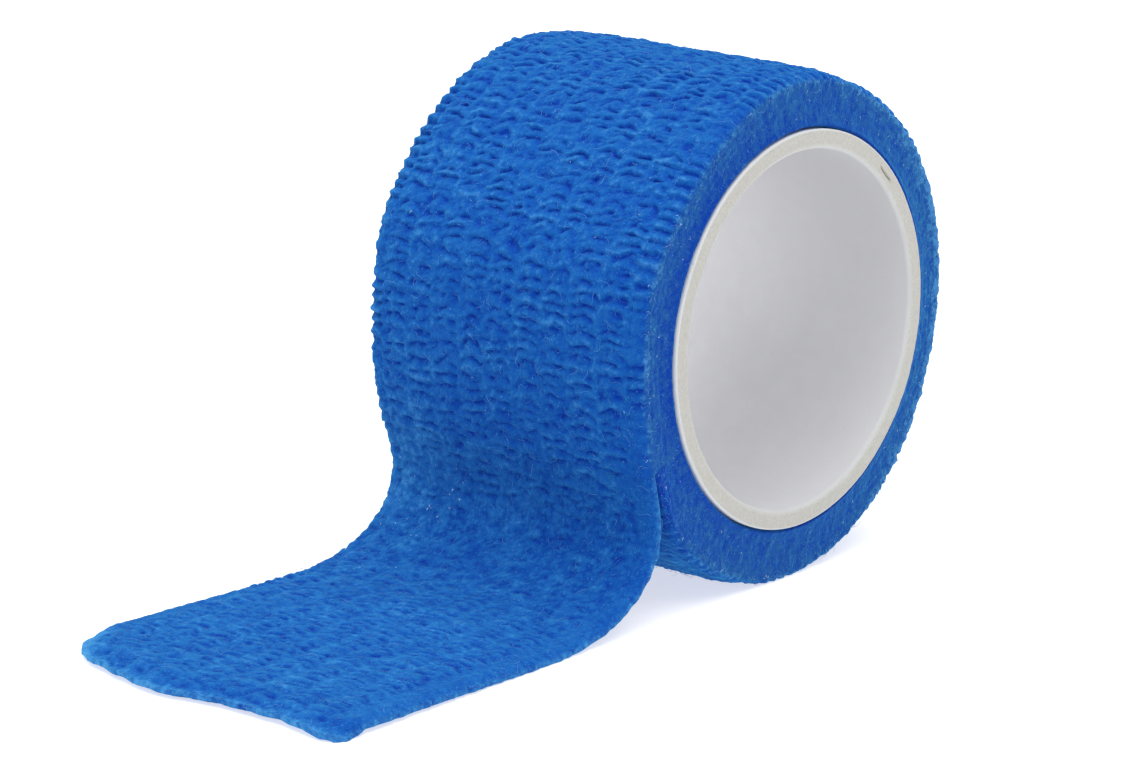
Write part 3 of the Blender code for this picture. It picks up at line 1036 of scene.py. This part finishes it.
core_points = np.stack(
    [
        board_x + board_out_r * board_push * np.cos(around),
        board_y + board_out_y * board_push,
        AXIS_HEIGHT + board_z + board_out_r * board_push * np.sin(around),
    ],
    axis=-1,
)
# Painted shade: the bore is made greyer towards its near end and in its upper half.
near_share = smooth_step(8, -HALF_WIDTH, board_y)
upper_share = smooth_step(-0.3, 1.0, np.sin(around))
bore_painted_shade = NEAR_PAINTED_SHADE * near_share + UPPER_PAINTED_SHADE * upper_share
core_values = {
    "cut": ring_share,
    "inner": np.clip(-board_out_r, 0, 1) * (1 - ring_share),
    "bore_painted_shade": bore_painted_shade,
    # Painted highlight: a light line on the outer rounded rim of each end.
    "board_rim_painted_highlight": np.clip(board_out_r, 0, 1) * np.abs(board_out_y) * 2,
    "ply_gap": ply_gap,
}
core_uv = np.stack(np.broadcast_arrays(around * CORE_RADIUS, board_y), axis=-1) / UV_SPAN
core = smooth_object(
    "board_core",
    core_points.reshape(-1, 3),
    grid_quads(*core_points.shape[:2], ring=True).tolist(),
    {name: (value + 0 * around).ravel() for name, value in core_values.items()},
    core_uv.reshape(-1, 2),
)

# %% [markdown]
# ## Cloth materials
#
# The cloth is spun polyester or nylon fibre, dyed a bright medical blue and soaked in a little
# latex, so it is matt with a soft, slightly green-blue sheen where it is seen edge-on. Its colour
# is mixed from three tones by the pucker value of the mesh, which paints shade into the creases
# and a highlight onto the crests, with a paler painted highlight on the highest ones. Light goes
# into the mat and loses red on its way, so the painted shade is deeper blue, not just darker.
# Noise of 3 mm gives cloudy dye, noise of 0.36 mm the clumps of fibre, noise of 0.16 mm the
# single pale fibre ends, and a bump of both roughens the surface. Cut sides show fibre ends,
# which scatter more and look greyer.


# %% Crepe cloth
DYE_CLOUD, FIBRE_CLUMP, FIBRE_END = 3.0, 0.36, 0.16
# The first colour is a painted highlight for the highest crests, on the face and on cut sides.
PAINTED_HIGHLIGHT_COLOUR, FIBRE_END_COLOUR = "#5596d6", "#5f9fd8"


def crepe_material(name, crease, cloth, crest, felt):
    """Latex-soaked non-woven crepe: three tones by pucker height, a fourth on cut sides.

    The level is the pucker value, stirred by the clumps (more so on cut sides) and by the dye.
    Low levels paint shade into the creases, high ones a highlight onto the crests.
    """
    material, shader = new_material(name)
    place = add_node(material, COORDINATES, {}, output="Object")
    pucker, side = (
        add_node(material, ATTRIBUTE, {}, output="Fac", attribute_name=value)
        for value in ("pucker", "side")
    )
    dye, clump, fibre = (
        add_node(
            material,
            NOISE,
            {"Vector": place, "Scale": 1 / (size * MM), "Detail": detail, "Roughness": rough},
        )
        for size, detail, rough in (
            (DYE_CLOUD, 2.0, 0.5),
            (FIBRE_CLUMP, 3.0, 0.6),
            (FIBRE_END, 2.0, 0.55),
        )
    )
    clump_swing = add_node(material, RANGE, {0: clump, 1: 0.3, 2: 0.7, 3: -1.0, 4: 1.0})
    clump_size = add_node(material, RANGE, {0: side, 1: 0.0, 2: 1.0, 3: 0.2, 4: 0.5})
    stir = add_node(material, SUM, {0: clump_swing, 1: clump_size}, operation="MULTIPLY")
    cloud = add_node(material, RANGE, {0: dye, 1: 0.3, 2: 0.7, 3: -0.1, 4: 0.1})
    level = add_node(material, SUM, {0: pucker, 1: stir}, operation="ADD")
    level = add_node(material, SUM, {0: level, 1: cloud}, operation="ADD")
    # Painted shade and highlight: crease colour at low levels, crest colour at high ones, and the
    # painted highlight colour above those.
    to_cloth = add_node(material, RANGE, {0: level, 1: 0.02, 2: 0.42})
    to_crest = add_node(material, RANGE, {0: level, 1: 0.4, 2: 0.95})
    to_painted_highlight = add_node(material, RANGE, {0: level, 1: 0.75, 2: 1.25, 3: 0.0, 4: 0.5})
    to_felt = add_node(material, RANGE, {0: level, 1: -0.1, 2: 0.9})
    colour = cut_colour = linear(crease)
    for share, hex_code in ((to_cloth, cloth), (to_crest, crest), (to_painted_highlight, PAINTED_HIGHLIGHT_COLOUR)):
        colour = add_node(material, MIX, {0: share, 6: colour, 7: linear(hex_code)}, **COLOURS)
    for share, hex_code in ((to_felt, felt), (to_painted_highlight, PAINTED_HIGHLIGHT_COLOUR)):
        inputs = {0: share, 6: cut_colour, 7: linear(hex_code)}
        cut_colour = add_node(material, MIX, inputs, **COLOURS)
    to_cut = add_node(material, RANGE, {0: side, 1: 0.0, 2: 1.0, 3: 0.0, 4: 0.8})
    to_ends = add_node(material, RANGE, {0: fibre, 1: 0.62, 2: 0.76, 3: 0.0, 4: 0.45})
    for share, second in ((to_cut, cut_colour), (to_ends, linear(FIBRE_END_COLOUR))):
        colour = add_node(material, MIX, {0: share, 6: colour, 7: second}, **COLOURS)
    mat = add_node(material, SUM, {0: clump, 1: fibre}, operation="ADD")
    bump = add_node(material, BUMP, {"Height": mat, "Distance": 0.12 * MM, "Strength": 0.65})
    connect(
        material,
        shader,
        {
            "Base Color": colour,
            "Roughness": 0.9,
            "IOR": 1.45,
            "Specular IOR Level": 0.1,
            "Sheen Weight": 0.45,
            "Sheen Roughness": 0.5,
            "Sheen Tint": linear("#58d0e8"),
            "Normal": bump,
        },
    )
    return material


wound_crepe = crepe_material("latex crepe cloth, wound", "#02319c", "#0748a3", "#175fae", "#1e498b")
# The loose copy has paler crests and a much paler felt than the wound one: painted highlight on the
# loose end and along its edges.
loose_crepe = crepe_material("latex crepe cloth, loose", "#022c94", "#0749a1", "#2069b5", "#3a82c2")
for piece in wound_parts:
    piece.data.materials.append(wound_crepe)
loose_end.data.materials.append(loose_crepe)


# %% Fibre material
def fibre_material(name, dark, light):
    """Single polyester fibres: a range of blues, a little shinier than the cloth."""
    material, shader = new_material(name)
    tone = add_node(material, ATTRIBUTE, {}, output="Fac", attribute_name="tone")
    colour = add_node(material, MIX, {0: tone, 6: linear(dark), 7: linear(light)}, **COLOURS)
    connect(material, shader, {"Base Color": colour, "Roughness": 0.5, "IOR": 1.5})
    return material


blue_fibre = fibre_material("single polyester fibre, blue", "#1c5db8", "#5b9ae4")
pale_fibre = fibre_material("single polyester fibre, undyed", "#6fa9e0", "#cfe2f3")
for piece in (face_fuzz, side_fuzz, edge_fuzz, loose_fuzz):
    piece.data.materials.append(blue_fibre)
for piece in (face_lint, side_lint, edge_lint, bend_lint):
    piece.data.materials.append(pale_fibre)

# %% [markdown]
# ## Board material
#
# Uncoated white board: its walls are smooth and a little cool, its cut ends warmer and fibrous,
# with pulp grains of about 0.16 mm. The opened ply shows the brown-grey middle of the board.
# Painted shade greys the bore, and a painted highlight lightens the outer rim of each end.


# %% White board
BOARD_CLOUD, PULP_GRAIN = 1.6, 0.16


def board_material():
    """White paperboard: cool walls, warm fibrous cut ends, and the darker inside of an open ply."""
    material, shader = new_material("white paperboard")
    place = add_node(material, COORDINATES, {}, output="Object")
    cut, inner, bore_painted_shade, gap, board_rim_painted_highlight = (
        add_node(material, ATTRIBUTE, {}, output="Fac", attribute_name=value)
        for value in ("cut", "inner", "bore_painted_shade", "ply_gap", "board_rim_painted_highlight")
    )
    mottle, pulp = (
        add_node(material, NOISE, {"Vector": place, "Scale": 1 / (size * MM), "Detail": detail})
        for size, detail in ((BOARD_CLOUD, 4.0), (PULP_GRAIN, 2.0))
    )
    mottle, pulp = (
        add_node(material, RANGE, {0: grain, 1: 0.3, 2: 0.7}) for grain in (mottle, pulp)
    )
    wall, unshaded_bore, end = (
        add_node(material, MIX, {0: share, 6: linear(first), 7: linear(second)}, **COLOURS)
        for share, first, second in (
            (mottle, "#d3d8dc", "#dde1e4"),
            (mottle, "#e8e8eb", "#ececef"),
            (pulp, "#b1b0ab", "#bebdb8"),
        )
    )
    # The bore's colour turns grey by its painted shade.
    bore = add_node(material, MIX, {0: bore_painted_shade, 6: unshaded_bore, 7: linear("#b6b6b9")}, **COLOURS)
    colour = wall
    for share, second in (
        (inner, bore),
        (cut, end),
        # Painted highlight on the outer rim.
        (board_rim_painted_highlight, linear("#cfd2d3")),
        (gap, linear("#8f8672")),
    ):
        colour = add_node(material, MIX, {0: share, 6: colour, 7: second}, **COLOURS)
    bump = add_node(material, BUMP, {"Height": pulp, "Distance": 0.02 * MM, "Strength": 0.5})
    connect(
        material,
        shader,
        {"Base Color": colour, "Roughness": 0.75, "IOR": 1.45, "Normal": bump},
    )
    return material


core.data.materials.append(board_material())

# %% [markdown]
# ## Join the pieces to the frame
#
# Nothing on this object moves, so every piece rides on the one body. The CAD nodes that the
# wound tape, the loose end and the core stand for are hidden.

# %% Ride, and hide the replaced CAD nodes
for piece in wound_parts:
    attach(piece, "root")
    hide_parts("wound_roll")
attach(loose_end, "root")
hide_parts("loose_end")
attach(core, "root")
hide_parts("core_tube")
for piece in (face_fuzz, side_fuzz, edge_fuzz, face_lint, side_lint, edge_lint):
    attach(piece, "root")
for piece in (loose_fuzz, bend_lint):
    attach(piece, "root")
